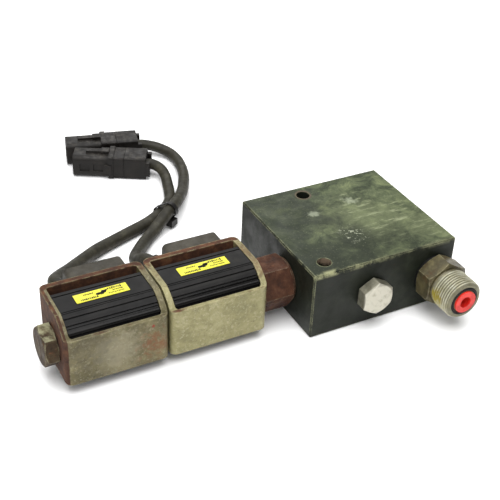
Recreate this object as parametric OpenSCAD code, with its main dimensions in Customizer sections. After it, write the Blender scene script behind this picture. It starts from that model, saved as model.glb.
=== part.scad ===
// Solenoid directional valve: a ported block, a screw-in spool cartridge with two coils stacked
// on its core tube, two leads with sealed connectors, a port plug and an outlet fitting.
// Millimetres. The origin is the centre of the block's bottom face. +X runs along the cartridge
// into the block, +Y to the back of the block and +Z up.

/* [Block] */
// Length of the block along the cartridge
block_len = 100; // [90:0.5:110]
// Depth of the block from the port face to the back face
block_depth = 91; // [85:0.5:98]
// Height of the block
block_height = 44.45; // [42:0.05:48]
// Chamfer on the block's long edges
block_chamfer = 0.8; // [0.4:0.1:1.2]
// Radius of the two holes for the mounting screws
mount_hole_r = 4.35; // [4:0.05:4.6]
// Height of the cartridge and of the ports above the base
port_z = 22.2; // [21.5:0.1:23]
// Distance of the cartridge's axis from the block's middle plane
axis_y = -12.5; // [-14:0.1:-11]

/* [Ports] */
// Position along the block of the plugged port
plug_x = -9.5; // [-11:0.1:-8]
// Width across flats of the plug's hexagon
plug_af = 19.05; // [18.5:0.05:19.5]
// Height of the plug's head over the block's face
plug_head = 9; // [8:0.1:10]
// Radius of the plug's thread
plug_thread_r = 7.1; // [6.8:0.05:7.3]
// Position along the block of the outlet fitting
outlet_x = 36; // [34:0.1:37]
// Width across flats of the fitting's hexagon
outlet_af = 27; // [26:0.05:28]
// End of the fitting's hexagon, measured from the block's face
outlet_hex_end = 14.5; // [13.5:0.1:15.5]
// End of the fitting's free thread, measured from the block's face
outlet_len = 31.7; // [30:0.1:33]
// Outer radius of the fitting's free thread
outlet_thread_r = 12.7; // [12.4:0.05:13]
// Radius of the fitting's bore
outlet_bore_r = 6.2; // [6:0.05:6.6]
// Radius of the dust plug's flange
dust_flange_r = 7.2; // [7:0.05:7.3]
// Thread radius of the two ports in the back face
back_port_r = 9.5; // [9.2:0.05:9.6]

/* [Cartridge] */
// Width across flats of the cartridge's hexagon
cart_af = 28.6; // [27.5:0.05:29.5]
// Length of the cartridge's hexagon
cart_hex_len = 21.3; // [20:0.1:22]
// Radius of the cartridge's thread
cart_thread_r = 11.1; // [10.8:0.05:11.3]
// Outer radius of the core tube
tube_r = 8; // [7.6:0.05:8.1]
// Radius of the spool's lands
spool_r = 5; // [4.9:0.01:5.02]
// Radius of both armatures
armature_r = 5.55; // [5.4:0.01:5.57]
// Gap from each armature to the pole piece with the spool centred
armature_gap = 2.6; // [2.4:0.05:3]

/* [Coils] */
// Outer face of the left coil, the one farther from the block
left_coil_x = -195.4; // [-196:0.1:-195]
// Length of the left coil's yoke
left_coil_len = 60.4; // [59:0.1:60.5]
// Outer face of the right coil
right_coil_x = -133.7; // [-134:0.1:-133]
// Length of the right coil's yoke
right_coil_len = 60.8; // [60:0.1:61]
// Distance from the axis to a yoke's front face
yoke_front = 21; // [20:0.1:22]
// Distance from the axis to a yoke's back face
yoke_back = 22.3; // [21:0.1:23]
// Height of a yoke's lower edge over the standing surface
yoke_bottom = 7; // [6.5:0.1:8]
// Height of a yoke's side and back plates' upper edge
yoke_top = 46; // [45:0.1:46.5]
// Height of a yoke's front plate's upper edge
yoke_front_top = 37; // [36:0.1:38]
// Thickness of a yoke's plates
yoke_t = 3.5; // [3:0.1:4]
// Thickness of a yoke's front plate
yoke_front_t = 2.5; // [2:0.1:3.5]
// Outer radius of a yoke's upright corners
yoke_corner_r = 4; // [3:0.1:5]
// Length of the label on a coil
label_len = 30.8; // [29:0.1:32]
// Width of the label on a coil
label_width = 7.6; // [6.5:0.1:8]
// Width across flats of the coil nut
nut_af = 22.2; // [21.5:0.05:23]
// Length of the coil nut
nut_len = 8; // [7.5:0.1:9]
// Turn of the coil nut about the axis
nut_turn = 14; // [0:1:30]

/* [Leads] */
// Radius of a lead's jacket at the coil
lead_r = 4.4; // [4:0.05:4.6]
// Radius of a lead's jacket at the connector
lead_thin_r = 3.7; // [3.5:0.05:4]
// Length of a connector's housing
conn_len = 51; // [48:0.5:52]
// Width of a connector
conn_w = 19.4; // [18:0.1:20]
// Height of a connector
conn_h = 18; // [16:0.1:18.5]

/* [Hidden] */
$fn = 64;
gap = 0.1;                       // gap between pieces of one body
front_y = -block_depth / 2;
back_y = block_depth / 2;
left_x = -block_len / 2;
mount_back = [-11, 35.9];
mount_front = [-37.3, -34.5];
cart_port_x = [-28, plug_x, 7];  // the cartridge's three rings of side ports
cart_nose_x = 22;                // open end of the cartridge
cart_step_x = [-36, -17, 0, 15]; // where the cartridge's body steps down
cart_step_r = [9.4, 8.8, 8.2, 7.6];
seal_x = [-18.9, -1.9, 13];      // seal grooves, one on each land
seal_land_r = [9.4, 8.8, 8.2];
seal_wire = 0.9;
spool_bore_r = spool_r + 0.05;
rod_r = 2;
rod_bore_r = rod_r + 0.08;
cart_hex_x = left_x - 1.2;       // right end of the cartridge's hexagon
cart_left = cart_hex_x - cart_hex_len;
tube_seat_x = cart_left + 7;
chamber_x = tube_seat_x + 3;     // spring chamber behind the spool
spool_x = [-52, 12];
spring_r = 3.9;
spring_wire = 0.6;
tube_bore_r = armature_r + 0.05;
tube_end_x = left_coil_x - 6;
tube_blind_x = left_coil_x + 4;
pole_x = [-146, -122];
inner_arm_x = [pole_x[1] + armature_gap, tube_seat_x - 3.2];
outer_arm_x = [tube_blind_x + 3.2, pole_x[0] - armature_gap];
yoke_y0 = axis_y - yoke_front;
yoke_y1 = axis_y + yoke_back;
yoke_inner_r = 1.6;
crown_c = [-9, 20];              // centre, in Y and Z, of the crown over a yoke's front edge
crown_r = 27.8;
crown_y = -19.4;                 // where the flat top ends and the crown starts
bobbin_flange_r = 13.4;
winding_r = 13;
label_y = -14;
trough_y = -0.5;
trough_z = 40;
body_drop = 0.5;                 // how far the moulding lies under the yoke's rim
boss_len = 36;
boss_off = 19;                   // left end of a lead boss, from the coil's left face
boss_round = 3.2;                // radius of a lead boss's two upper corners
boss_y1 = 24;
boss_z = [11, 42.3];
relief_dir = [-0.5, 0.866, 0];   // the way a lead leaves its boss
relief_len = 9;

// Centre lines of the two leads, from the strain relief to the connector.
left_start = [-170.5, 26.5, 22];
right_start = [-110.5, 26.5, 22];
left_route = [
    left_start, [-175, 34.3, 22], [-176.2, 42, 21.8], [-171, 50, 18.6], [-160.5, 62.5, 12.5],
    [-147.5, 76, 7.3], [-133.5, 86.5, 5], [-119, 93, 4.3], [-106, 98, 4.3], [-94, 102.5, 4.3],
    [-85.5, 106, 5], [-77.5, 111, 5.5], [-70, 118, 5], [-64.5, 126, 4.3],
    [-60.5, 136, 4.3], [-57.2, 146.5, 4.3], [-54.8, 155.5, 5.2], [-55, 163, 7.2],
    [-58.4, 168.6, 8.8], [-62.6, 171.6, 9], [-67.9, 174.5, 9]];
right_route = [
    right_start, [-115, 34.3, 22], [-118.2, 42, 20.8], [-119.5, 53, 14.3], [-114.5, 66, 8],
    [-105.5, 78.5, 5], [-96, 88, 4.6], [-87.5, 94, 7], [-79, 99.5, 10.2],
    [-71, 106, 11.3], [-62, 116.5, 9.4], [-53, 130, 6], [-46.2, 142.5, 4.3], [-41, 154, 4.3],
    [-37.5, 167, 4.3], [-36.3, 178, 4.3], [-38, 187.5, 4.9], [-44.5, 195.6, 6.8],
    [-53, 199.8, 8.7], [-58.3, 201.3, 9], [-64.1, 202.8, 9]];
lead_sides = 12;
route_n = 3;                     // rings between two route points

// Connectors: where the lead enters, and the direction from there to the open end.
front_conn = [-64.4, 172.6];
front_turn = 151.5;
back_conn = [-60.2, 201.8];
back_turn = 165;
tie_at = [-76, 106.7, 8.4];
tie_turn = 30;

block_tint = [0.16, 0.20, 0.17];
steel = [0.62, 0.62, 0.58];
rust = [0.36, 0.25, 0.20];
zinc = [0.60, 0.58, 0.42];
black = [0.07, 0.07, 0.08];
jacket = [0.20, 0.19, 0.19];
copper = [0.72, 0.42, 0.22];

// ---------- helpers ----------

module along_x(x) translate([x, axis_y, port_z]) rotate([0, 90, 0]) children();
module from_front(x) translate([x, front_y, port_z]) rotate([90, 0, 0]) children();
module span(x0, x1, r) along_x(x0) cylinder(r = r, h = x1 - x0);
module ring(x0, x1, ro, ri) difference() {
    span(x0, x1, ro);
    span(x0 - 1, x1 + 1, ri);
}
module hex(af, h) cylinder(d = af / cos(30), h = h, $fn = 6);
module box(a, b) translate(a) cube(b - a);

// A hexagon whose two ends are turned down to a chamfer.
module turned_hex(af, h, c0, c1) intersection() {
    hex(af, h);
    rotate_extrude() polygon([
        [0, 0], [af / 2 - c0 * 0.2, 0], [af / 2 + c0 * 1.5, c0], [af, c0], [af, h - c1],
        [af / 2 + c1 * 1.5, h - c1], [af / 2 - c1 * 0.2, h], [0, h]]);
}

// An upright post with rounded corners, made of boxes and cylinders.
module post(a, b, r) {
    box([a[0] + r, a[1], a[2]], [b[0] - r, b[1], b[2]]);
    box([a[0], a[1] + r, a[2]], [b[0], b[1] - r, b[2]]);
    for (x = [a[0] + r, b[0] - r]) for (y = [a[1] + r, b[1] - r])
        translate([x, y, a[2]]) cylinder(r = r, h = b[2] - a[2]);
}

function unit(v) = v / norm(v);
function knot(p, i) = p[min(max(i, 0), len(p) - 1)];
function curve(a, b, c, d, t) =
    0.5 * (2 * b + (c - a) * t + (2 * a - 5 * b + 4 * c - d) * t * t
    + (3 * b - a - 3 * c + d) * t * t * t);
function smooth(p, n) = concat(
    [for (i = [0 : len(p) - 2]) for (k = [0 : n - 1])
        curve(knot(p, i - 1), p[i], p[i + 1], knot(p, i + 2), k / n)], [p[len(p) - 1]]);
function heading(p, i) = unit(knot(p, i + 1) - knot(p, i - 1));
function side(t, ref) = unit(cross(t, ref));
function part_way(i, m, a, b) = a + (b - a) * i / (m - 1);
function hoop(c, t, r, n, ref) = [for (k = [0 : n - 1])
    let (s = side(t, ref), u = cross(s, t), a = 360 * k / n)
    c + r * (cos(a) * s + sin(a) * u)];

// A round bar swept along a path, with a radius that changes evenly from r to r_end.
module sweep(p, r, r_end, n, ref) {
    m = len(p);
    polyhedron(
        points = [for (i = [0 : m - 1]) each hoop(p[i], heading(p, i), part_way(i, m, r, r_end), n, ref)],
        faces = concat(
            [[for (k = [0 : n - 1]) k]],
            [for (i = [0 : m - 2]) for (k = [0 : n - 1])
                [i * n + k, (i + 1) * n + k, (i + 1) * n + (k + 1) % n, i * n + (k + 1) % n]],
            [[for (k = [n - 1 : -1 : 0]) (m - 1) * n + k]]));
}

function helix(x0, x1, r, turns, n) = [for (i = [0 : turns * n])
    [x0 + (x1 - x0) * i / (turns * n), axis_y + r * cos(360 * i / n), port_z + r * sin(360 * i / n)]];

// ---------- block and ports ----------

module block_holes() {
    for (p = [mount_back, mount_front])
        translate([p[0], p[1], -1]) cylinder(r = mount_hole_r, h = block_height + 2);
    // cartridge cavity, from the thread down to the nose
    span(left_x - 1, cart_step_x[0] + 1, cart_thread_r);
    span(cart_step_x[0], cart_step_x[1] + gap, cart_step_r[0] + gap);
    span(cart_step_x[1], cart_step_x[2] + gap, cart_step_r[1] + gap);
    span(cart_step_x[2], cart_step_x[3] + gap, cart_step_r[2] + gap);
    span(cart_step_x[3], cart_nose_x + 1, cart_step_r[3] + gap);
    for (x = cart_port_x) span(x - 3, x + 3, 11);
    span(cart_nose_x, outlet_x, 5);
    // plugged port and outlet port in the front face
    from_front(plug_x) translate([0, 0, -14]) cylinder(r = plug_thread_r, h = 15);
    translate([plug_x, axis_y - 8, port_z]) rotate([90, 0, 0]) cylinder(r = 4, h = 15);
    from_front(outlet_x) translate([0, 0, -16]) cylinder(r = cart_thread_r, h = 17);
    translate([outlet_x, axis_y + 5, port_z]) rotate([90, 0, 0]) cylinder(r = 5, h = 25);
    // two work ports in the back face
    for (x = [cart_port_x[0], cart_port_x[2]]) {
        translate([x, back_y + 1, port_z]) rotate([90, 0, 0]) cylinder(r = back_port_r, h = 17);
        translate([x, back_y - 10, port_z]) rotate([90, 0, 0]) cylinder(r = 4, h = 40);
    }
}

module edge_cuts() {
    c = block_chamfer * sqrt(2);
    for (x = [left_x, -left_x]) for (z = [0, block_height])
        translate([x, 0, z]) rotate([0, 45, 0]) cube([c, block_depth + 2, c], center = true);
    for (y = [front_y, back_y]) for (z = [0, block_height])
        translate([0, y, z]) rotate([45, 0, 0]) cube([block_len + 2, c, c], center = true);
    for (x = [left_x, -left_x]) for (y = [front_y, back_y])
        translate([x, y, 0]) rotate([0, 0, 45]) cube([c, c, 3 * block_height], center = true);
}

module manifold_block() color(block_tint) difference() {
    box([left_x, front_y, 0], [-left_x, back_y, block_height]);
    block_holes();
    edge_cuts();
}

module port_plug() color(steel) from_front(plug_x) {
    translate([0, 0, 1]) rotate([0, 0, 30]) turned_hex(plug_af, plug_head - 1, 0.1, 0.8);
    translate([0, 0, -12]) cylinder(r = plug_thread_r - gap, h = 13.5);
}

module port_plug_seal() color(black) from_front(plug_x) difference() {
    translate([0, 0, 0.05]) cylinder(r = 8.8, h = 0.9);
    translate([0, 0, -1]) cylinder(r = plug_thread_r + gap, h = 4);
}

module outlet_fitting() color(zinc) from_front(outlet_x) difference() {
    union() {
        translate([0, 0, 1.6]) rotate([0, 0, 30])
            turned_hex(outlet_af, outlet_hex_end - 1.6, 1.2, 1.2);
        translate([0, 0, -14]) cylinder(r = cart_thread_r - gap, h = 18);
        translate([0, 0, 10]) cylinder(r = outlet_thread_r - 1, h = 7);
        translate([0, 0, outlet_hex_end + 1.4]) rotate_extrude() polygon([
            [0, 0], [outlet_thread_r - 1, 0], [outlet_thread_r, 1],
            [outlet_thread_r, outlet_len - outlet_hex_end - 2.9],
            [outlet_thread_r - 1.5, outlet_len - outlet_hex_end - 1.4],
            [0, outlet_len - outlet_hex_end - 1.4]]);
    }
    translate([0, 0, -20]) cylinder(r = outlet_bore_r, h = 60);
    translate([0, 0, outlet_len - 1.3]) difference() {
        cylinder(r = 9.5, h = 3);
        translate([0, 0, -1]) cylinder(r = 7.5, h = 5);
    }
}

module outlet_stud_seal() color(black) from_front(outlet_x) difference() {
    translate([0, 0, 0.05]) cylinder(r = 13.2, h = 1.5);
    translate([0, 0, -1]) cylinder(r = cart_thread_r + gap, h = 4);
}

module face_seal_ring() color(black) from_front(outlet_x)
    translate([0, 0, outlet_len - 0.4]) rotate_extrude() translate([8.45, 0]) circle(r = 0.88, $fn = 24);

module dust_plug() color([0.85, 0.12, 0.10]) from_front(outlet_x) difference() {
    union() {
        translate([0, 0, outlet_len + 0.05]) cylinder(r = dust_flange_r, h = 1.3);
        translate([0, 0, outlet_len - 11]) cylinder(r = outlet_bore_r - 0.3, h = 12);
    }
    translate([0, 0, outlet_len - 9]) cylinder(r = 3.7, h = 12);
}

// ---------- cartridge ----------

module seal_grooves() for (i = [0 : 2])
    ring(seal_x[i] - 1.1, seal_x[i] + 1.1, seal_land_r[i] + 1, seal_land_r[i] - 1.75);

module side_ports(x) for (a = [0 : 60 : 179])
    along_x(x) rotate([0, 0, a]) rotate([90, 0, 0]) cylinder(r = 1.8, h = 40, center = true, $fn = 32);

module cartridge_body() color(rust) difference() {
    union() {
        along_x(cart_left) rotate([0, 0, 90]) turned_hex(cart_af, cart_hex_len, 1.6, 1.8);
        span(cart_hex_x - 1, left_x - 0.05, cart_af / 2 - 0.6);
        span(left_x - 2, cart_step_x[0], cart_thread_r - gap);
        span(cart_step_x[0] - 1, cart_step_x[1], cart_step_r[0]);
        span(cart_step_x[1] - 1, cart_step_x[2], cart_step_r[1]);
        span(cart_step_x[2] - 1, cart_step_x[3], cart_step_r[2]);
        span(cart_step_x[3] - 1, cart_nose_x, cart_step_r[3]);
    }
    span(cart_left - 1, tube_seat_x, tube_r + gap);
    span(tube_seat_x - 1, chamber_x + 1, rod_bore_r);
    span(chamber_x, cart_nose_x - 1, spool_bore_r);
    span(cart_nose_x - 2, cart_nose_x + 1, 3);
    for (x = cart_port_x) side_ports(x);
    seal_grooves();
}

module cartridge_seals() color(black) for (i = [0 : 2])
    along_x(seal_x[i]) rotate_extrude()
        translate([seal_land_r[i] - seal_wire + 0.06, 0]) circle(r = seal_wire, $fn = 24);

module spool() color(steel) difference() {
    span(spool_x[0], spool_x[1], spool_r);
    for (x = [[-31.5, -24.5], [-16, -13], [-6, -3], [3.5, 10]])
        ring(x[0], x[1], spool_r + 1, 3.2);
    span(spool_x[0] - 1, spool_x[0] + 7, rod_r + 0.02);
}

module rod_spring() color(steel)
    sweep(helix(chamber_x + spring_wire + 0.05, spool_x[0] - spring_wire - 0.05, spring_r, 4, 16),
        spring_wire, spring_wire, 8, [1, 0, 0]);

module nose_spring() color(steel)
    sweep(helix(spool_x[1] + spring_wire + 0.05, cart_nose_x - 1.05 - spring_wire, spring_r, 4, 16),
        spring_wire, spring_wire, 8, [1, 0, 0]);

module core_tube() color(steel) difference() {
    union() {
        span(tube_end_x, tube_seat_x - 0.05, tube_r);
        span(cart_left - 0.35, cart_left - 0.05, tube_r + 1.2);
    }
    span(tube_blind_x, tube_seat_x + 1, tube_bore_r);
}

module pole_piece() color(steel) difference() {
    span(pole_x[0], pole_x[1], tube_bore_r - 0.02);
    span(pole_x[0] - 1, pole_x[1] + 1, rod_bore_r);
}

module inner_armature() color(steel) ring(inner_arm_x[0], inner_arm_x[1], armature_r, rod_r + 0.02);
module outer_armature() color(steel) ring(outer_arm_x[0], outer_arm_x[1], armature_r, rod_r + 0.02);
module armature_rod() color(steel) span(outer_arm_x[0] + 1, spool_x[0] + 6, rod_r);

// ---------- coils ----------

module yoke_crown_cut(x0, x1, r) difference() {
    box([x0 - 1, yoke_y0 - 1, yoke_front_top], [x1 + 1, crown_y, yoke_top + 4]);
    translate([x0 - 2, crown_c[0], crown_c[1]]) rotate([0, 90, 0])
        cylinder(r = r, h = x1 - x0 + 4, $fn = 128);
}

module yoke(x0, len) color(zinc) difference() {
    post([x0, yoke_y0, yoke_bottom], [x0 + len, yoke_y1, yoke_top], yoke_corner_r);
    post([x0 + yoke_t, yoke_y0 + yoke_front_t, 0],
        [x0 + len - yoke_t, yoke_y1 - yoke_t, yoke_top + 1], yoke_inner_r);
    yoke_crown_cut(x0, x0 + len, crown_r);
    span(x0 - 1, x0 + len + 1, tube_r + 0.3);
}

// The moulding's grooves and glossy rib, which run the length of the coil.
module moulding_lines(x0, x1) {
    for (g = [[-3.3, 0.8, 0.6], [-18.3, 0.7, 0.3]])
        box([x0 - 1, g[0] - g[1] / 2, yoke_top - body_drop - g[2]], [x1 + 1, g[0] + g[1] / 2, 60]);
    for (g = [[29.2, 0.8, 0.8], [38.5, 1.2, 1.1], [42, 0.9, 1], [50.8, 1.3, 1.4]])
        translate([x0 - 1, crown_c[0], crown_c[1]]) rotate([g[0], 0, 0])
            translate([0, -g[1] / 2, crown_r - 0.6 - g[2]]) cube([x1 - x0 + 2, g[1], 6]);
}

module coil_body(x0, len) {
    a = x0 + yoke_t + gap;
    b = x0 + len - yoke_t - gap;
    color(black) difference() {
        union() {
            difference() {
                post([a, yoke_y0 + yoke_front_t + gap, yoke_bottom],
                    [b, yoke_y1 - yoke_t - gap, yoke_top - body_drop], yoke_inner_r);
                yoke_crown_cut(x0, x0 + len, crown_r - 0.6);
                moulding_lines(a, b);
            }
            translate([a + 0.4, crown_c[0], crown_c[1]]) rotate([46.5, 0, 0])
                translate([0, 0, crown_r - 1.9]) rotate([0, 90, 0]) cylinder(r = 1.6, h = b - a - 0.8);
        }
        box([a - 1, trough_y, trough_z], [b + 1, yoke_y1, 60]);
        span(a + 1.2, b - 1.2, bobbin_flange_r + gap);
        span(a - 1, b + 1, tube_r + 0.5);
    }
}

module bobbin(x0, len) {
    a = x0 + yoke_t + gap + 1.3;
    b = x0 + len - yoke_t - gap - 1.3;
    color([0.32, 0.30, 0.28]) {
        ring(a, b, 9.5, tube_r + 0.3);
        ring(a, a + 1.8, bobbin_flange_r, tube_r + 0.3);
        ring(b - 1.8, b, bobbin_flange_r, tube_r + 0.3);
    }
}

module winding(x0, len) color(copper)
    ring(x0 + yoke_t + 3.4, x0 + len - yoke_t - 3.4, winding_r, 9.5 + gap);

module coil_label(x0) {
    a = x0 + 14.5;
    z = yoke_top - body_drop;
    color([0.93, 0.84, 0.12])
        box([a, label_y, z + 0.02], [a + label_len, label_y + label_width, z + 0.27]);
}

module boss_blank(x0) {
    y = yoke_y1 + 0.05;
    box([x0, y, boss_z[0]], [x0 + boss_len, boss_y1, boss_z[1] - boss_round]);
    box([x0 + boss_round, y, boss_z[0]], [x0 + boss_len - boss_round, boss_y1, boss_z[1]]);
    for (x = [x0 + boss_round, x0 + boss_len - boss_round])
        translate([x, y, boss_z[1] - boss_round]) rotate([-90, 0, 0])
            cylinder(r = boss_round, h = boss_y1 - y);
}

module lead_boss(x0, start) color([0.24, 0.20, 0.18]) {
    difference() {
        union() {
            boss_blank(x0);
            translate(start - 12 * relief_dir) at_relief() cylinder(r = 6.4, h = 12.9);
        }
        translate(start - 0.4 * relief_dir) at_relief() cylinder(r = lead_r + 0.3, h = 3);
    }
}

module at_relief() rotate([-90, 0, 30]) children();

module strain_relief(start) color(black) translate(start + relief_dir) at_relief() difference() {
    cylinder(r1 = 6, r2 = 5.7, h = relief_len);
    translate([0, 0, -0.1]) cylinder(r1 = lead_r + 0.2, r2 = lead_r + 0.75, h = relief_len + 0.2);
}

module coil_spacer() color(black)
    ring(left_coil_x + left_coil_len + 0.1, right_coil_x - 0.1, 11, tube_r + 0.3);

module coil_nut() color(rust) difference() {
    along_x(left_coil_x - nut_len - 0.05) rotate([0, 0, nut_turn + 90]) turned_hex(nut_af, nut_len, 2, 0.5);
    span(tube_end_x - 0.1, left_coil_x + 1, tube_r + gap);
}

// ---------- leads ----------

module lead(route)
    sweep(smooth(route, route_n), lead_r, lead_thin_r, lead_sides, [0, 0, 1]);

module left_cable() color(jacket) lead(left_route);
module right_cable() color(jacket) lead(right_route);

module tie_loop(r, w) hull() for (p = [[-4.2, 2.9], [4.2, -2.9]])
    translate([0, p[0], p[1]]) rotate([0, 90, 0]) cylinder(r = r, h = w, center = true, $fn = 32);

module cable_tie() color(black) translate(tie_at) rotate([0, 0, tie_turn]) {
    difference() {
        union() {
            tie_loop(lead_r + 1, 3);
            translate([-3.2, -7.6, -4.2]) cube([6.4, 4.8, 4.6], center = true);
        }
        tie_loop(lead_r + 0.35, 16);
    }
}

// Connector pieces are drawn with the lead entering at the origin and the open end at +X.
module at_conn(p, turn) translate([p[0], p[1], 0]) rotate([0, 0, turn]) children();
module cbox(x0, x1, w, z0, z1) translate([x0, -w / 2, z0]) cube([x1 - x0, w, z1 - z0]);
module crod(x0, x1, y, z, r) translate([x0, y, z]) rotate([0, 90, 0]) cylinder(r = r, h = x1 - x0);

// A bar along X with its four long edges rounded.
module cbar(x0, x1, w, z0, z1, r) {
    cbox(x0, x1, w - 2 * r, z0, z1);
    cbox(x0, x1, w, z0 + r, z1 - r);
    for (y = [r - w / 2, w / 2 - r]) for (z = [z0 + r, z1 - r]) crod(x0, x1, y, z, r);
}

module housing() color([0.10, 0.09, 0.09]) difference() {
    union() {
        cbox(4.2, 14, conn_w - 4.6, 2.3, conn_h - 2.3);
        cbar(13.8, 24, conn_w - 1.4, 0.5, conn_h - 0.8, 1.5);
        cbar(21.5, 25.2, conn_w, 0, conn_h, 2);
        cbar(25, conn_len, conn_w - 2, 0.3, conn_h - 1, 4);
        cbox(25.1, 31, 6, conn_h - 3, conn_h + 1.4);
        cbox(31, 42, 3.4, conn_h - 3, conn_h + 0.6);
        for (s = [-1, 1]) cbox_at(22.5, 27.5, s * (conn_w / 2 - 0.2), 2, 5, 11.5);
    }
    for (s = [-1, 1]) for (x = [29, 39])
        cbox_at(x, x + 7, s * (conn_w / 2 - 0.8), 2.2, 5.5, 11.5);
    for (s = [-1, 1]) crod(0, 60, s * 3.8, conn_h / 2, 1.6);
    cbar(conn_len - 9, conn_len + 1, conn_w - 5.4, 3.4, conn_h - 4, 2);
    cbox(3, 12, conn_w - 7, 4, conn_h - 4);
}

module cbox_at(x0, x1, y, w, z0, z1) translate([x0, y - w / 2, z0]) cube([x1 - x0, w, z1 - z0]);

module lock_cover() color([0.06, 0.06, 0.07]) difference() {
    union() {
        cbar(-2, 13.6, conn_w - 1.2, 0.2, conn_h - 0.6, 1.8);
        for (s = [-1, 1]) cbox_at(-5, 2, s * (conn_w / 2 - 2.4), 3.4, 3, conn_h - 4);
    }
    cbox(4, 14, conn_w - 4.3, 2.1, conn_h - 2.1);
    crod(-6, 5, 0, conn_h / 2, lead_thin_r + 0.5);
}

module wire_seal() color([0.45, 0.14, 0.10]) difference() {
    cbox(4.25, 11.9, conn_w - 7.2, 4.1, conn_h - 4.1);
    for (s = [-1, 1]) crod(8, 18, s * 3.8, conn_h / 2, 1.6);
}

module terminals() color(copper) for (s = [-1, 1])
    crod(8.1, conn_len - 9.1, s * 3.8, conn_h / 2, 1.45);

// ---------- pieces ----------

module left_coil_yoke() yoke(left_coil_x, left_coil_len);
module right_coil_yoke() yoke(right_coil_x, right_coil_len);
module left_coil_body() coil_body(left_coil_x, left_coil_len);
module right_coil_body() coil_body(right_coil_x, right_coil_len);
module left_bobbin() bobbin(left_coil_x, left_coil_len);
module right_bobbin() bobbin(right_coil_x, right_coil_len);
module left_winding() winding(left_coil_x, left_coil_len);
module right_winding() winding(right_coil_x, right_coil_len);
module left_coil_label() coil_label(left_coil_x);
module right_coil_label() coil_label(right_coil_x);
module left_lead_boss() lead_boss(left_coil_x + boss_off, left_start);
module right_lead_boss() lead_boss(right_coil_x + boss_off, right_start);
module left_strain_relief() strain_relief(left_start);
module right_strain_relief() strain_relief(right_start);
module front_connector_housing() at_conn(front_conn, front_turn) housing();
module back_connector_housing() at_conn(back_conn, back_turn) housing();
module front_connector_lock() at_conn(front_conn, front_turn) lock_cover();
module back_connector_lock() at_conn(back_conn, back_turn) lock_cover();
module front_wire_seal() at_conn(front_conn, front_turn) wire_seal();
module back_wire_seal() at_conn(back_conn, back_turn) wire_seal();
module front_terminals() at_conn(front_conn, front_turn) terminals();
module back_terminals() at_conn(back_conn, back_turn) terminals();

manifold_block();
port_plug();
port_plug_seal();
outlet_fitting();
outlet_stud_seal();
face_seal_ring();
dust_plug();
cartridge_body();
cartridge_seals();
spool();
nose_spring();
rod_spring();
core_tube();
pole_piece();
inner_armature();
outer_armature();
armature_rod();
left_coil_yoke();
right_coil_yoke();
left_coil_body();
right_coil_body();
left_bobbin();
right_bobbin();
left_winding();
right_winding();
left_coil_label();
right_coil_label();
left_lead_boss();
right_lead_boss();
left_strain_relief();
right_strain_relief();
coil_spacer();
coil_nut();
left_cable();
right_cable();
cable_tie();
front_connector_housing();
back_connector_housing();
front_connector_lock();
back_connector_lock();
front_wire_seal();
back_wire_seal();
front_terminals();
back_terminals();
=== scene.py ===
import math
import random

import bpy
from mathutils import Matrix, Vector


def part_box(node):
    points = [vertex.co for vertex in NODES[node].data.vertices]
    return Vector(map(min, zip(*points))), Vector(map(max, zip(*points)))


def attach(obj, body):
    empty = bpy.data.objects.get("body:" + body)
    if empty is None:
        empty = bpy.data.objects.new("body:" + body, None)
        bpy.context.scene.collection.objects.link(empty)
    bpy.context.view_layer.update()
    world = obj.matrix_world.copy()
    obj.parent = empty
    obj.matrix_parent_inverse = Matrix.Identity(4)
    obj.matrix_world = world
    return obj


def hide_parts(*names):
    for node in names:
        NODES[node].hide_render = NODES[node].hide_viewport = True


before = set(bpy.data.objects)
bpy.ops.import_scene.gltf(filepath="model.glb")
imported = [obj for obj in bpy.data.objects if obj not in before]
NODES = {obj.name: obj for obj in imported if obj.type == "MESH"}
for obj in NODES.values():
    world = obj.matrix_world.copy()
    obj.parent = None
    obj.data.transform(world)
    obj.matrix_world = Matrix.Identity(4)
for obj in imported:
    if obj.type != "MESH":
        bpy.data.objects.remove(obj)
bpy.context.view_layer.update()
BODY = "valve_body"
BLOCK_LOW, BLOCK_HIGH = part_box("manifold_block")
TOP_Z, FRONT_Y = BLOCK_HIGH.z, BLOCK_LOW.y
OUTLET_LOW, OUTLET_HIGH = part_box("outlet_fitting")
OUTLET_X = (OUTLET_LOW.x + OUTLET_HIGH.x) / 2
PORT_Z = (OUTLET_LOW.z + OUTLET_HIGH.z) / 2
HEX_END_Y = FRONT_Y - 0.015     # between the fitting's hexagon and its thread


# ---------- camera ----------

def camera():
    yaw, pitch, roll = math.radians(-29.1), math.radians(34.27), math.radians(2.64)
    back = Vector((math.sin(yaw) * math.cos(pitch), -math.cos(yaw) * math.cos(pitch), math.sin(pitch)))
    right = Vector((math.cos(yaw), math.sin(yaw), 0))
    up = back.cross(right)
    turned = right * math.cos(roll) + up * math.sin(roll)
    top = up * math.cos(roll) - right * math.sin(roll)
    data = bpy.data.cameras.new("camera")
    data.sensor_width = 36
    data.lens = 74.39
    data.clip_end = 20
    eye = bpy.data.objects.new("camera", data)
    bpy.context.scene.collection.objects.link(eye)
    eye.matrix_world = Matrix.Translation(Vector((-0.31568, -0.44520, 0.38743))) @ Matrix(
        (turned, top, back)).transposed().to_4x4()
    bpy.context.scene.camera = eye


camera()


# ---------- meshes ----------

def new_mesh(name, points, faces, mat, smooth=False):
    mesh = bpy.data.meshes.new(name)
    mesh.from_pydata([tuple(p) for p in points], [], faces)
    mesh.validate()
    if smooth:
        mesh.shade_smooth()
    mesh.materials.append(mat)
    obj = bpy.data.objects.new(name, mesh)
    bpy.context.scene.collection.objects.link(obj)
    return obj


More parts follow.
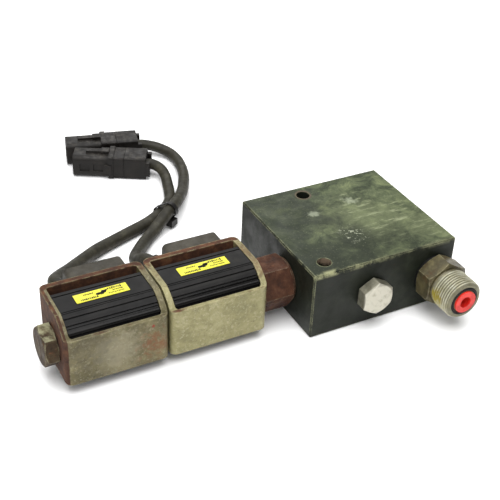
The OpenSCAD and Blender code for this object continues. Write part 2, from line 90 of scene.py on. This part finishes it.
def catmull(route, n):
    pts = [Vector(p) for p in route]
    at = lambda i: pts[min(max(i, 0), len(pts) - 1)]
    out = []
    for i in range(len(pts) - 1):
        a, b, c, d = at(i - 1), at(i), at(i + 1), at(i + 2)
        for k in range(n):
            t = k / n
            out.append(0.5 * (2 * b + (c - a) * t + (2 * a - 5 * b + 4 * c - d) * t * t
                              + (3 * b - a - 3 * c + d) * t ** 3))
    return out + [pts[-1]]


def tube(name, path, r0, r1, sides, mat):
    points, faces = [], []
    m = len(path)
    for i, p in enumerate(path):
        t = (path[min(i + 1, m - 1)] - path[max(i - 1, 0)]).normalized()
        s = t.cross(Vector((0, 0, 1))).normalized()
        u = s.cross(t)
        r = r0 + (r1 - r0) * i / (m - 1)
        for k in range(sides):
            a = 2 * math.pi * k / sides
            points.append(p + (s * math.cos(a) + u * math.sin(a)) * r)
    for i in range(m - 1):
        for k in range(sides):
            j = (k + 1) % sides
            faces.append((i * sides + k, i * sides + j, (i + 1) * sides + j, (i + 1) * sides + k))
    faces.append(tuple(range(sides - 1, -1, -1)))
    faces.append(tuple(range((m - 1) * sides, m * sides)))
    return new_mesh(name, points, faces, mat, smooth=True)


# ---------- materials ----------

def rgb(code, depth=1.0):
    """A display colour such as "c8c29a" as linear light, made deeper by depth."""
    part = [int(code[i:i + 2], 16) / 255 for i in (0, 2, 4)]
    linear = [c / 12.92 if c <= 0.04045 else ((c + 0.055) / 1.055) ** 2.4 for c in part]
    return tuple(depth * c for c in linear) + (1,)


class Paint:
    """A procedural finish, drawn in the row frame's own coordinates in metres."""

    def __init__(self, name, metallic=0.0, rough=(0.4, 0.6), depth=0.6, specular=0.35):
        self.depth = depth          # how deep the colours are taken under this light
        self.mat = bpy.data.materials.new(name)
        self.mat.use_nodes = True
        self.tree = self.mat.node_tree
        self.tree.nodes.clear()
        out = self.add("ShaderNodeOutputMaterial")
        self.bsdf = self.add("ShaderNodeBsdfPrincipled")
        self.bsdf.inputs["Metallic"].default_value = metallic
        self.bsdf.inputs["Specular IOR Level"].default_value = specular
        self.join(self.bsdf.outputs[0], out.inputs["Surface"])
        self.place = self.add("ShaderNodeTexCoord").outputs["Object"]
        self.rough = rough
        self.normal = None      # the socket that the next bump or the finish builds on

    def add(self, kind, **props):
        n = self.tree.nodes.new(kind)
        for k, v in props.items():
            setattr(n, k, v)
        return n

    def join(self, a, b):
        self.tree.links.new(a, b)

    def put(self, socket, value):
        if isinstance(value, bpy.types.NodeSocket):
            self.join(value, socket)
        else:
            socket.default_value = value

    def tint(self, colour):
        return rgb(colour, self.depth) if isinstance(colour, str) else colour

    def noise(self, scale, detail=5, rough=0.6, stretch=None, turn=(0, 0, 0), warp=0.0):
        where = self.place
        if stretch:
            m = self.add("ShaderNodeMapping")
            m.inputs["Scale"].default_value = stretch
            m.inputs["Rotation"].default_value = turn
            self.join(where, m.inputs["Vector"])
            where = m.outputs[0]
        n = self.add("ShaderNodeTexNoise")
        settings = {"Scale": scale, "Detail": detail, "Roughness": rough, "Distortion": warp}
        for key, value in settings.items():
            n.inputs[key].default_value = value
        self.join(where, n.inputs["Vector"])
        return n.outputs["Fac"]

    def level(self, value, lo, hi, a=0.0, b=1.0):
        """a where value is lo, b where it is hi, and smooth between."""
        n = self.add("ShaderNodeMapRange", interpolation_type="SMOOTHSTEP")
        for key, v in ((0, value), (1, lo), (2, hi), (3, a), (4, b)):
            self.put(n.inputs[key], v)
        return n.outputs[0]

    def mix(self, fac, a, b, kind="MIX"):
        n = self.add("ShaderNodeMix", data_type="RGBA", blend_type=kind)
        self.put(n.inputs[0], fac)
        self.put(n.inputs[6], self.tint(a))
        self.put(n.inputs[7], self.tint(b))
        return n.outputs[2]

    def ramp(self, fac, stops):
        """A colour that runs through stops, (place, colour), as fac goes from 0 to 1."""
        n = self.add("ShaderNodeValToRGB")
        while len(n.color_ramp.elements) < len(stops):
            n.color_ramp.elements.new(0.5)
        for e, (at, code) in zip(n.color_ramp.elements, stops):
            e.position = at
            e.color = rgb(code, self.depth)
        self.join(fac, n.inputs[0])
        return n.outputs[0]

    def maths(self, op, a, b):
        n = self.add("ShaderNodeMath", operation=op)
        self.put(n.inputs[0], a)
        self.put(n.inputs[1], b)
        return n.outputs[0]

    def times(self, a, b):
        return self.maths("MULTIPLY", a, b)

    def plus(self, a, b):
        return self.maths("ADD", a, b)

    def most(self, a, b):
        return self.maths("MAXIMUM", a, b)

    def axis(self, which):
        n = self.add("ShaderNodeSeparateXYZ")
        self.join(self.place, n.inputs[0])
        return n.outputs[which]

    def spot(self, centre, near, far, ragged=0.004):
        """1 within near of a point, 0 beyond far, with a ragged edge."""
        n = self.add("ShaderNodeVectorMath", operation="DISTANCE")
        self.join(self.place, n.inputs[0])
        n.inputs[1].default_value = centre
        d = self.plus(n.outputs["Value"], self.level(self.noise(260), 0.2, 0.8, -ragged, ragged))
        return self.level(d, near, far, 1.0, 0.0)

    def edges(self, width, lo=0.0, hi=0.12, grain=300):
        """Edge mask: 1 where a rounded edge's normal leaves the face's own, broken up by noise. It marks
        worn edges, and on the yokes also a painted edge highlight.
        """
        b = self.add("ShaderNodeBevel", samples=6)
        b.inputs["Radius"].default_value = width
        g = self.add("ShaderNodeNewGeometry")
        d = self.add("ShaderNodeVectorMath", operation="DOT_PRODUCT")
        self.join(b.outputs[0], d.inputs[0])
        self.join(g.outputs["Normal"], d.inputs[1])
        worn = self.level(d.outputs["Value"], 1 - hi, 1 - lo, 1.0, 0.0)
        return self.times(worn, self.level(self.noise(grain), 0.35, 0.6))

    def facing_up(self, lo, hi):
        g = self.add("ShaderNodeNewGeometry")
        s = self.add("ShaderNodeSeparateXYZ")
        self.join(g.outputs["Normal"], s.inputs[0])
        return self.level(s.outputs[2], lo, hi)

    def soften(self, radius):
        """Rounds sharp edges a little."""
        b = self.add("ShaderNodeBevel", samples=6)
        b.inputs["Radius"].default_value = radius
        self.normal = b.outputs[0]

    def bump(self, height, strength, distance=0.0004):
        n = self.add("ShaderNodeBump")
        n.inputs["Strength"].default_value = strength
        n.inputs["Distance"].default_value = distance
        self.join(height, n.inputs["Height"])
        if self.normal:
            self.join(self.normal, n.inputs["Normal"])
        self.normal = n.outputs[0]

    def done(self, colour, rough=None):
        self.put(self.bsdf.inputs["Base Color"], self.tint(colour))
        if rough is None:
            rough = self.level(self.noise(220), 0.3, 0.7, *self.rough)
        self.put(self.bsdf.inputs["Roughness"], rough)
        if self.normal:
            self.join(self.normal, self.bsdf.inputs["Normal"])
        return self.mat


def block_iron():
    """Near-black iron with a mottled green top, rubbed light in places and worn along the edges."""
    p = Paint("block_iron", metallic=0.1, rough=(0.38, 0.62), depth=0.55, specular=0.2)
    p.soften(0.0006)
    top = p.facing_up(0.7, 0.95)
    front = p.ramp(p.noise(55, 6, 0.65), [(0.3, "1f231b"), (0.55, "2a2e25"), (0.75, "3c4234")])
    mottled = p.ramp(p.noise(70, 9, 0.72, warp=0.9), [
        (0.32, "2c3325"), (0.45, "465038"), (0.55, "667050"), (0.68, "8a9468")])
    streaks = p.level(p.noise(60, 6, 0.7, stretch=(1, 5, 1), turn=(0, 0, 0.5)), 0.5, 0.72)
    # rubbed light in the middle and towards the fitting's corner
    light = p.most(p.spot((0.012, -0.006, TOP_Z), 0.012, 0.04, 0.012),
                   p.spot((0.041, -0.024, TOP_Z), 0.006, 0.026, 0.01))
    mottled = p.mix(p.times(light, 0.4), mottled, "949d72")
    mottled = p.mix(p.times(streaks, p.level(light, 0, 1, 0.15, 0.8)), mottled, "bcc499")
    # duller towards the cartridge, and darker along the port face
    drift = p.level(p.noise(30, 5), 0.3, 0.7, -0.018, 0.018)
    dull = p.level(p.plus(p.axis(0), drift), -0.03, 0.0, 0.7, 0.0)
    mottled = p.mix(dull, mottled, "343a2e")
    near = p.level(p.plus(p.axis(1), drift), -0.045, -0.012, 0.75, 0.0)
    near = p.times(near, p.level(p.axis(0), 0.015, 0.042, 1, 0.2))
    mottled = p.mix(near, mottled, "2f3627")
    # two pale daubs, fine specks and a patch of small scuffs
    daub = p.most(p.spot((-0.0165, 0.0135, TOP_Z), 0.0005, 0.0045, 0.003),
                  p.spot((0.0135, 0.018, TOP_Z), 0.0005, 0.006, 0.004))
    mottled = p.mix(p.times(daub, 0.6), mottled, "bcc4a8")
    fine = p.level(p.noise(900, 2), 0.62, 0.72)
    mottled = p.mix(p.times(fine, 0.35), mottled, "aab08c")
    marks = p.times(p.level(p.noise(420, 3, 0.7, warp=0.8), 0.56, 0.62),
                    p.spot((-0.0065, -0.0155, TOP_Z), 0.004, 0.011, 0.004))
    mottled = p.mix(marks, mottled, "c9ceb2")
    colour = p.mix(top, front, mottled)
    # worn lip of the top along the port face, heaviest at the cartridge's corner, and worn edges
    lip = p.times(p.level(p.axis(1), FRONT_Y + 0.004, FRONT_Y + 0.0003, 0, 1),
                  p.level(p.axis(0), 0.01, -0.045, 0.25, 1))
    lip = p.times(lip, p.level(p.noise(110, 7, 0.75), 0.42, 0.6))
    colour = p.mix(p.times(lip, p.level(p.axis(2), 0.041, 0.0435)), colour, "c3c494")
    colour = p.mix(p.times(p.edges(0.0013, 0.0, 0.1, 130), 0.95), colour, "b4b68c")
    # light rust in the front mounting hole, with a painted pool of light on its upper wall that fades into
    # painted shade deeper down, and a bare ring round the back one
    bore_rust_and_light = p.times(p.spot((-0.0373, -0.0345, 0.040), 0.0056, 0.0064, 0.0002),
                   p.level(p.facing_up(0.3, 0.7), 0, 1, 1, 0))
    # painted light and shade: the hole's wall is lighter near the top and darker deeper in
    height = p.plus(p.axis(2), p.level(p.noise(300), 0.2, 0.8, -0.004, 0.004))
    bore_rust_and_light = p.times(bore_rust_and_light, p.level(height, 0.038, 0.0446))
    colour = p.mix(bore_rust_and_light, colour, "b09a82")
    ring = p.times(p.spot((-0.011, 0.0359, TOP_Z), 0.0048, 0.0062, 0.0008), top)
    colour = p.mix(p.times(ring, 0.7), colour, "6e5a4c")
    p.bump(p.noise(700, 4), 0.25, 0.0002)
    return p.done(colour, p.level(p.noise(90), 0.3, 0.7, 0.36, 0.6))


def plated_steel():
    """The port plug: a bright face and dull flats."""
    p = Paint("plated_steel", metallic=0.55, rough=(0.28, 0.45), depth=0.75)
    p.soften(0.0004)
    dirt = p.level(p.noise(260, 5), 0.5, 0.72)
    colour = p.mix(p.times(dirt, 0.5), "d4d0bf", "8d8772")
    side = p.level(p.axis(1), FRONT_Y - 0.008, FRONT_Y - 0.007)
    colour = p.mix(side, colour, p.mix(p.level(p.noise(180), 0.35, 0.65), "7d7a69", "a3a08d"))
    p.bump(p.noise(800, 3), 0.15, 0.0002)
    return p.done(colour)


def fitting_zinc():
    """A brownish hexagon and a pale thread with dark grooves."""
    p = Paint("fitting_zinc", metallic=0.4, rough=(0.34, 0.55), depth=0.6, specular=0.3)
    p.soften(0.0005)
    hexagon = p.ramp(p.noise(150, 6, 0.65), [(0.3, "3d3826"), (0.5, "5d563c"), (0.7, "7d734f")])
    rust = p.level(p.noise(120, 6, 0.7), 0.55, 0.68)
    hexagon = p.mix(p.times(rust, 0.6), hexagon, "5d4026")
    flat = p.add("ShaderNodeVectorMath", operation="MULTIPLY")
    p.join(p.place, flat.inputs[0])
    flat.inputs[1].default_value = (1, 0, 1)
    off = p.add("ShaderNodeVectorMath", operation="DISTANCE")
    p.join(flat.outputs[0], off.inputs[0])
    off.inputs[1].default_value = (OUTLET_X, 0, PORT_Z)
    p.put(p.bsdf.inputs["Metallic"], p.level(p.axis(1), HEX_END_Y + 0.0003, HEX_END_Y - 0.0003, 0.1, 0.45))
    crest = p.level(off.outputs["Value"], 0.01165, 0.0125)
    thread = p.ramp(p.noise(260, 5, 0.6), [(0.3, "c0bb9b"), (0.5, "e2dfc4"), (0.75, "fbfae8")])
    thread = p.mix(p.level(crest, 0, 1, 0.75, 0.0), thread, "5c5638")
    gold = p.spot((0.023, -0.064, 0.02), 0.003, 0.009, 0.003)
    thread = p.mix(gold, thread, "b9a83a")
    colour = p.mix(p.level(p.axis(1), HEX_END_Y + 0.0003, HEX_END_Y - 0.0003), hexagon, thread)
    colour = p.mix(p.times(p.edges(0.0009), 0.6), colour, "c8c29a")
    p.bump(p.noise(700, 4), 0.2, 0.0002)
    return p.done(colour)


def rusty_steel(name, dark, mid, light, worn="b9ab8e", amount=0.5, pale=None):
    """Brown rusted steel with worn edges, and pale upper flats if pale is given."""
    p = Paint(name, metallic=0.1, rough=(0.55, 0.85), specular=0.25)
    p.soften(0.0005)
    colour = p.ramp(p.noise(120, 8, 0.7), [(0.3, dark), (0.5, mid), (0.7, light)])
    orange = p.level(p.noise(230, 6, 0.7), 0.6, 0.7)
    colour = p.mix(p.times(orange, 0.5), colour, "8a5230")
    if pale:
        colour = p.mix(p.times(p.facing_up(0.3, 0.8), p.level(p.noise(200), 0.35, 0.6)), colour, pale)
    colour = p.mix(p.times(p.edges(0.001, 0.0, 0.12), amount), colour, worn)
    p.bump(p.noise(520, 6, 0.7), 0.5, 0.0004)
    return p.done(colour)


def yoke_zinc(name, left):
    """Dull olive zinc over steel. The left coil is the more stained and rusted of the two."""
    front_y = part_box("left_coil_yoke")[0].y
    p = Paint(name, metallic=0.2, rough=(0.42, 0.66), depth=0.55 if left else 0.74)
    p.soften(0.0007)
    if left:
        plain = [(0.3, "5a5436"), (0.5, "7d744e"), (0.68, "a3986c")]
    else:
        plain = [(0.3, "7f7a54"), (0.5, "9a9468"), (0.7, "b4ae83")]
    colour = p.ramp(p.noise(60, 8, 0.68), plain)
    grime = p.level(p.noise(210, 8, 0.78), 0.46, 0.62)
    colour = p.mix(p.times(grime, 0.4), colour, "544c34" if left else "77704a")
    speckle = p.level(p.noise(640, 4, 0.7), 0.52, 0.66)
    colour = p.mix(p.times(speckle, 0.4), colour, "c9c3a2")
    pits = p.level(p.noise(420, 4, 0.7), 0.6, 0.72)
    colour = p.mix(p.times(pits, 0.45), colour, "4b4330")
    if left:
        # on its front: a pale middle, a brown patch, a dark stain and a red dot
        pale = p.spot((-0.166, front_y, 0.022), 0.004, 0.02, 0.006)
        colour = p.mix(p.times(pale, 0.6), colour, "b5ad8f")
        patch = p.times(p.spot((-0.1435, front_y, 0.019), 0.001, 0.014, 0.009),
                        p.level(p.noise(170, 7, 0.75), 0.42, 0.6))
        colour = p.mix(p.times(patch, 0.85), colour, "8f5c36")
        stain = p.times(p.spot((-0.183, front_y, 0.03), 0.004, 0.02, 0.01), 0.45)
        colour = p.mix(stain, colour, "57503f")
        dot = p.spot((-0.1447, front_y, 0.0325), 0.0004, 0.0014, 0.0004)
        colour = p.mix(dot, colour, "a8402c")
    rust = p.ramp(p.noise(190, 7, 0.7), [
        (0.3, "3a241a"), (0.5, "5b3a28"), (0.68, "7d5235"), (0.8, "a06a3c")])
    # rust where it gathers: on the left end, the upper rims and inside the back plates
    blotch = p.noise(75, 6, 0.7)
    rim = p.facing_up(0.35, 0.8)
    inner_back = p.level(p.axis(1), 0.0035, 0.0062)
    if left:
        end = p.level(p.axis(0), -0.1925, -0.1945, 0, 1)
        where = p.most(p.level(p.plus(end, blotch), 0.85, 1.15),
                       p.level(p.plus(rim, blotch), 1.5, 1.72))
        where = p.most(where, p.level(p.plus(inner_back, blotch), 0.95, 1.25))
    else:
        corner = p.spot((-0.075, -0.012, 0.046), 0.008, 0.022, 0.01)
        where = p.most(p.level(p.plus(rim, blotch), 1.45, 1.7), p.times(corner, 0.6))
        where = p.most(where, p.level(p.plus(inner_back, blotch), 1.1, 1.4))
    colour = p.mix(where, colour, rust)
    # pale worn edges, partly a painted highlight along the plates' rounded edges
    worn_and_highlit_edges = p.edges(0.0014, 0.0, 0.14, 220)
    colour = p.mix(p.times(worn_and_highlit_edges, 0.55), colour, "c5bc90")
    p.bump(p.noise(600, 6, 0.7), 0.35, 0.0003)
    return p.done(colour, p.level(where, 0, 1, 0.45, 0.8))


def moulding():
    """The coils' black moulding: satin on top with dust streaks, glossy at the rib."""
    p = Paint("coil_moulding", rough=(0.24, 0.4), depth=0.22, specular=0.12)
    p.soften(0.0003)
    colour = p.ramp(p.noise(90, 6), [(0.3, "1b1a19"), (0.6, "2a2826"), (0.8, "3d3a36")])
    dust = p.times(p.level(p.noise(50, 6, 0.7), 0.5, 0.75), p.facing_up(0.8, 0.99))
    colour = p.mix(p.times(dust, 0.5), colour, "5c574e")
    streak = p.level(p.noise(60, 5, 0.7, stretch=(0.12, 6, 6)), 0.58, 0.75)
    colour = p.mix(p.times(streak, 0.35), colour, "6a665e")
    p.bump(p.noise(900, 3), 0.08, 0.0002)
    rib = p.level(p.axis(1), -0.0245, -0.0265, 0.36, 0.15)
    return p.done(colour, p.plus(rib, p.level(p.noise(160), 0.3, 0.7, -0.05, 0.06)))


def boss_plastic():
    p = Paint("lead_moulding", rough=(0.5, 0.75), depth=0.36, specular=0.25)
    p.soften(0.0008)
    colour = p.ramp(p.noise(80, 7, 0.65), [(0.3, "4a463c"), (0.5, "5e594d"), (0.75, "787264")])
    p.bump(p.noise(600, 4), 0.3, 0.0003)
    return p.done(colour)


def rubber(name, dark, mid, light, rough=(0.45, 0.68), depth=0.5):
    p = Paint(name, rough=rough, depth=depth, specular=0.25)
    colour = p.ramp(p.noise(130, 7, 0.7), [(0.3, dark), (0.52, mid), (0.78, light)])
    dust = p.level(p.noise(420, 5, 0.7), 0.58, 0.75)
    colour = p.mix(p.times(dust, 0.3), colour, light)
    p.bump(p.noise(700, 5), 0.2, 0.0002)
    return p.done(colour)


def connector_plastic():
    p = Paint("connector_plastic", rough=(0.36, 0.6), depth=0.4, specular=0.2)
    p.soften(0.0004)
    colour = p.ramp(p.noise(110, 7, 0.7), [(0.3, "1d1a17"), (0.55, "2a2622"), (0.8, "46403a")])
    dust = p.times(p.level(p.noise(240, 6, 0.7), 0.45, 0.7), p.facing_up(0.4, 0.95))
    colour = p.mix(p.times(dust, 0.55), colour, "77726a")
    p.bump(p.noise(800, 4), 0.15, 0.0002)
    return p.done(colour)


def label_yellow():
    p = Paint("label_yellow", rough=(0.35, 0.5), depth=0.85)
    fade = p.level(p.noise(160, 6, 0.7), 0.45, 0.75)
    colour = p.mix(fade, "e6e034", "cfc646")
    grime = p.level(p.noise(520, 5, 0.7), 0.62, 0.75)
    return p.done(p.mix(p.times(grime, 0.4), colour, "8a8434"))


def red_plastic():
    p = Paint("red_plastic", rough=(0.3, 0.45), depth=0.9)
    p.soften(0.0003)
    shade = p.level(p.noise(200, 4), 0.35, 0.7)
    return p.done(p.mix(shade, "e8382c", "c9231c"))


def metal(name, dark, light, rough=(0.25, 0.4)):
    p = Paint(name, metallic=0.85, rough=rough)
    colour = p.mix(p.level(p.noise(240, 5), 0.3, 0.7), dark, light)
    p.bump(p.noise(900, 3), 0.1, 0.0001)
    return p.done(colour)


IRON = block_iron()
PLATED = plated_steel()
FITTING = fitting_zinc()
HEX_RUST = rusty_steel("cartridge_rust", "2c1a12", "50301f", "75503a")
NUT_RUST = rusty_steel("nut_rust", "2c2018", "4e3e2c", "7a6c50", "ccc9a6", 0.8, pale="a9a683")
YOKE_L = yoke_zinc("left_yoke_zinc", True)
YOKE_R = yoke_zinc("right_yoke_zinc", False)
MOULDING = moulding()
BOSS = boss_plastic()
SEAL = rubber("seal_rubber", "0e0e0e", "181818", "2a2a28")
JACKET = rubber("jacket_rubber", "2f2c22", "434033", "6a6654", depth=0.42)
RELIEF = rubber("relief_rubber", "232120", "302d2a", "4a463f")
TIE = rubber("tie_nylon", "12110f", "1c1a18", "34302b", (0.3, 0.45))
CONNECTOR = connector_plastic()
YELLOW = label_yellow()
RED = red_plastic()
BRIGHT = metal("bright_steel", "8c8c86", "c2c2bc")
COPPER = metal("copper_wire", "8a4a26", "c27a48")
BOBBIN = rubber("bobbin_plastic", "3a3632", "4a4640", "5c564e")
WIRE_SEAL = rubber("wire_seal_rubber", "5a1c14", "7a281c", "94382a")
INK = rubber("label_ink", "14140c", "20200f", "38381c")

FINISH = {
    "manifold_block": IRON, "port_plug": PLATED, "port_plug_seal": SEAL, "outlet_fitting": FITTING,
    "outlet_stud_seal": SEAL, "face_seal_ring": SEAL, "dust_plug": RED, "cartridge_body": HEX_RUST,
    "cartridge_seals": SEAL, "spool": BRIGHT, "nose_spring": BRIGHT, "rod_spring": BRIGHT,
    "core_tube": BRIGHT, "pole_piece": BRIGHT, "inner_armature": BRIGHT, "outer_armature": BRIGHT,
    "armature_rod": BRIGHT, "left_coil_yoke": YOKE_L, "right_coil_yoke": YOKE_R,
    "left_coil_body": MOULDING, "right_coil_body": MOULDING, "left_bobbin": BOBBIN,
    "right_bobbin": BOBBIN, "left_winding": COPPER, "right_winding": COPPER,
    "left_coil_label": YELLOW, "right_coil_label": YELLOW, "left_lead_boss": BOSS,
    "right_lead_boss": BOSS, "left_strain_relief": RELIEF, "right_strain_relief": RELIEF,
    "coil_spacer": SEAL, "coil_nut": NUT_RUST, "left_cable": JACKET, "right_cable": JACKET,
    "cable_tie": TIE, "front_connector_housing": CONNECTOR, "back_connector_housing": CONNECTOR,
    "front_connector_lock": CONNECTOR, "back_connector_lock": CONNECTOR,
    "front_wire_seal": WIRE_SEAL, "back_wire_seal": WIRE_SEAL, "front_terminals": COPPER,
    "back_terminals": COPPER,
}
for name, obj in NODES.items():
    obj.data.materials.clear()
    obj.data.materials.append(FINISH[name])


# ---------- leads ----------

LEFT_ROUTE = [
    (-0.1705, 0.0265, 0.022), (-0.175, 0.0343, 0.022), (-0.1762, 0.042, 0.0218), (-0.171, 0.05, 0.0186),
    (-0.1605, 0.0625, 0.0125), (-0.1475, 0.076, 0.0073), (-0.1335, 0.0865, 0.005),
    (-0.119, 0.093, 0.0043), (-0.106, 0.098, 0.0043), (-0.094, 0.1025, 0.0043),
    (-0.0855, 0.106, 0.005), (-0.0775, 0.111, 0.0055), (-0.07, 0.118, 0.005),
    (-0.0645, 0.126, 0.0043), (-0.0605, 0.136, 0.0043), (-0.0572, 0.1465, 0.0043),
    (-0.0548, 0.1555, 0.0052), (-0.055, 0.163, 0.0072), (-0.0584, 0.1686, 0.0088),
    (-0.0626, 0.1716, 0.009), (-0.0679, 0.1745, 0.009)]
RIGHT_ROUTE = [
    (-0.1105, 0.0265, 0.022), (-0.115, 0.0343, 0.022), (-0.1182, 0.042, 0.0208), (-0.1195, 0.053, 0.0143),
    (-0.1145, 0.066, 0.008), (-0.1055, 0.0785, 0.005), (-0.096, 0.088, 0.0046),
    (-0.0875, 0.094, 0.007), (-0.079, 0.0995, 0.0102), (-0.071, 0.106, 0.0113),
    (-0.062, 0.1165, 0.0094), (-0.053, 0.13, 0.006), (-0.0462, 0.1425, 0.0043),
    (-0.041, 0.154, 0.0043), (-0.0375, 0.167, 0.0043), (-0.0363, 0.178, 0.0043),
    (-0.038, 0.1875, 0.0049), (-0.0445, 0.1956, 0.0068), (-0.053, 0.1998, 0.0087),
    (-0.0583, 0.2013, 0.009), (-0.0641, 0.2028, 0.009)]


def lead(side, route):
    path = catmull(route, 8)
    cable = tube(side + "_lead", path, 0.0044, 0.0037, 32, JACKET)
    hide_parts(side + "_cable")
    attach(cable, BODY)


lead("left", LEFT_ROUTE)
lead("right", RIGHT_ROUTE)


# ---------- outlet fitting with a real thread ----------

def fitting():
    """The fitting with its free thread turned down to the root, and a helical thread laid over it."""
    src = NODES["outlet_fitting"]
    copy = bpy.data.objects.new("outlet_fitting_threaded", src.data.copy())
    bpy.context.scene.collection.objects.link(copy)
    for v in copy.data.vertices:
        out = FRONT_Y - v.co.y
        dx, dz = v.co.x - OUTLET_X, v.co.z - PORT_Z
        r = math.hypot(dx, dz)
        if out > 0.0158 and r > 0.0108:
            k = min(r, 0.0108) / r
            v.co.x, v.co.z = OUTLET_X + dx * k, PORT_Z + dz * k
    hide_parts("outlet_fitting")
    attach(copy, BODY)
    pitch, start, end = 0.001814, 0.0160, 0.0316
    around, rows = 96, int((end - start) / pitch * 10)
    points, faces = [], []
    for i in range(rows + 1):
        out = start + (end - start) * i / rows
        limit = min(0.0127, 0.0114 + (out - start) * 1.1, 0.0111 + (end - out) * 1.0)
        for k in range(around):
            a = 2 * math.pi * k / around
            phase = (out / pitch - k / around) % 1.0
            tooth = min(1.0, max(0.0, 1.25 - abs(phase - 0.5) * 3.2))
            r = min(limit, 0.01155 + 0.00115 * tooth)
            points.append((OUTLET_X + r * math.cos(a), FRONT_Y - out, PORT_Z + r * math.sin(a)))
    for i in range(rows):
        for k in range(around):
            j = (k + 1) % around
            faces.append((i * around + k, i * around + j, (i + 1) * around + j, (i + 1) * around + k))
    for i, y in ((0, FRONT_Y - start), (rows, FRONT_Y - end)):
        base = len(points)
        points += [(OUTLET_X + 0.0102 * math.cos(2 * math.pi * k / around), y,
                    PORT_Z + 0.0102 * math.sin(2 * math.pi * k / around)) for k in range(around)]
        for k in range(around):
            j = (k + 1) % around
            faces.append((i * around + k, i * around + j, base + j, base + k))
    thread = new_mesh("outlet_thread", points, faces, FITTING, smooth=False)
    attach(thread, BODY)


fitting()


# ---------- generic marks on the labels ----------

def marks(name, x0):
    """Rows of plain bars either side of a solid symbol, on a label whose left edge is at x0."""
    rnd = random.Random(7)
    y0, z = -0.014, 0.04578
    points, faces = [], []

    def slab(cx, cy, w, d, skew=0.0):
        b = len(points)
        for sx, sy in ((-1, -1), (1, -1), (1, 1), (-1, 1)):
            points.append((x0 + cx + sx * w / 2 + sy * skew, y0 + cy + sy * d / 2, z))
        for sx, sy in ((-1, -1), (1, -1), (1, 1), (-1, 1)):
            points.append((x0 + cx + sx * w / 2 + sy * skew, y0 + cy + sy * d / 2, z + 0.00006))
        faces.append((b + 4, b + 5, b + 6, b + 7))
        faces.append((b + 3, b + 2, b + 1, b))
        for k in range(4):
            faces.append((b + k, b + (k + 1) % 4, b + 4 + (k + 1) % 4, b + 4 + k))

    def row(xa, xb, cy, h):
        x = xa
        while x < xb:
            w = rnd.uniform(0.0004, 0.0010)
            slab(x + w / 2, cy, w, h * rnd.uniform(0.7, 1.0), rnd.uniform(-0.0001, 0.0001))
            x += w + rnd.uniform(0.00025, 0.0005)

    row(0.0055, 0.0112, 0.0056, 0.0012)
    row(0.0028, 0.0125, 0.0016, 0.0019)
    row(0.0195, 0.0268, 0.0060, 0.0018)
    row(0.0220, 0.0280, 0.0039, 0.0012)
    row(0.0190, 0.0275, 0.0019, 0.0012)
    slab(0.0152, 0.0040, 0.0060, 0.0015, 0.0004)
    slab(0.0172, 0.0050, 0.0034, 0.0019, 0.0006)
    slab(0.0138, 0.0032, 0.0022, 0.0010, 0.0003)
    slab(0.0158, 0.0030, 0.0018, 0.0012, 0.0003)
    obj = new_mesh(name, points, faces, INK)
    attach(obj, BODY)


marks("left_label_marks", -0.1954 + 0.0145)
marks("right_label_marks", -0.1337 + 0.0145)


# ---------- studio ----------

def studio():
    floor = Paint("floor_white", rough=(0.7, 0.8), depth=1)
    tone = floor.level(floor.noise(6, 2), 0.3, 0.7)
    mat = floor.done(floor.mix(tone, "f6f6f6", "fafafa"))
    plane = new_mesh("floor", [(-6, -6, 0), (6, -6, 0), (6, 6, 0), (-6, 6, 0)], [(0, 1, 2, 3)], mat)
    world = bpy.data.worlds.new("studio")
    bpy.context.scene.world = world
    world.use_nodes = True
    sky = world.node_tree.nodes["Background"]
    sky.inputs[0].default_value = (1, 1, 1, 1)
    sky.inputs[1].default_value = 0.35
    for name, at, size, power, aim in (
            ("key", (-0.15, -0.15, 1.3), 1.5, 32, (-0.05, 0.05, 0)),
            ("left_fill", (-1.1, -0.7, 0.5), 0.8, 4, (-0.1, 0, 0.02)),
            ("back_strip", (0.2, 1.1, 0.8), 0.9, 5, (-0.05, 0, 0))):
        data = bpy.data.lights.new(name, "AREA")
        data.energy, data.size = power, size
        lamp = bpy.data.objects.new(name, data)
        bpy.context.scene.collection.objects.link(lamp)
        lamp.location = at
        lamp.rotation_euler = (Vector(aim) - Vector(at)).to_track_quat("-Z", "Y").to_euler()
    bpy.context.scene.view_settings.view_transform = "Standard"


studio()
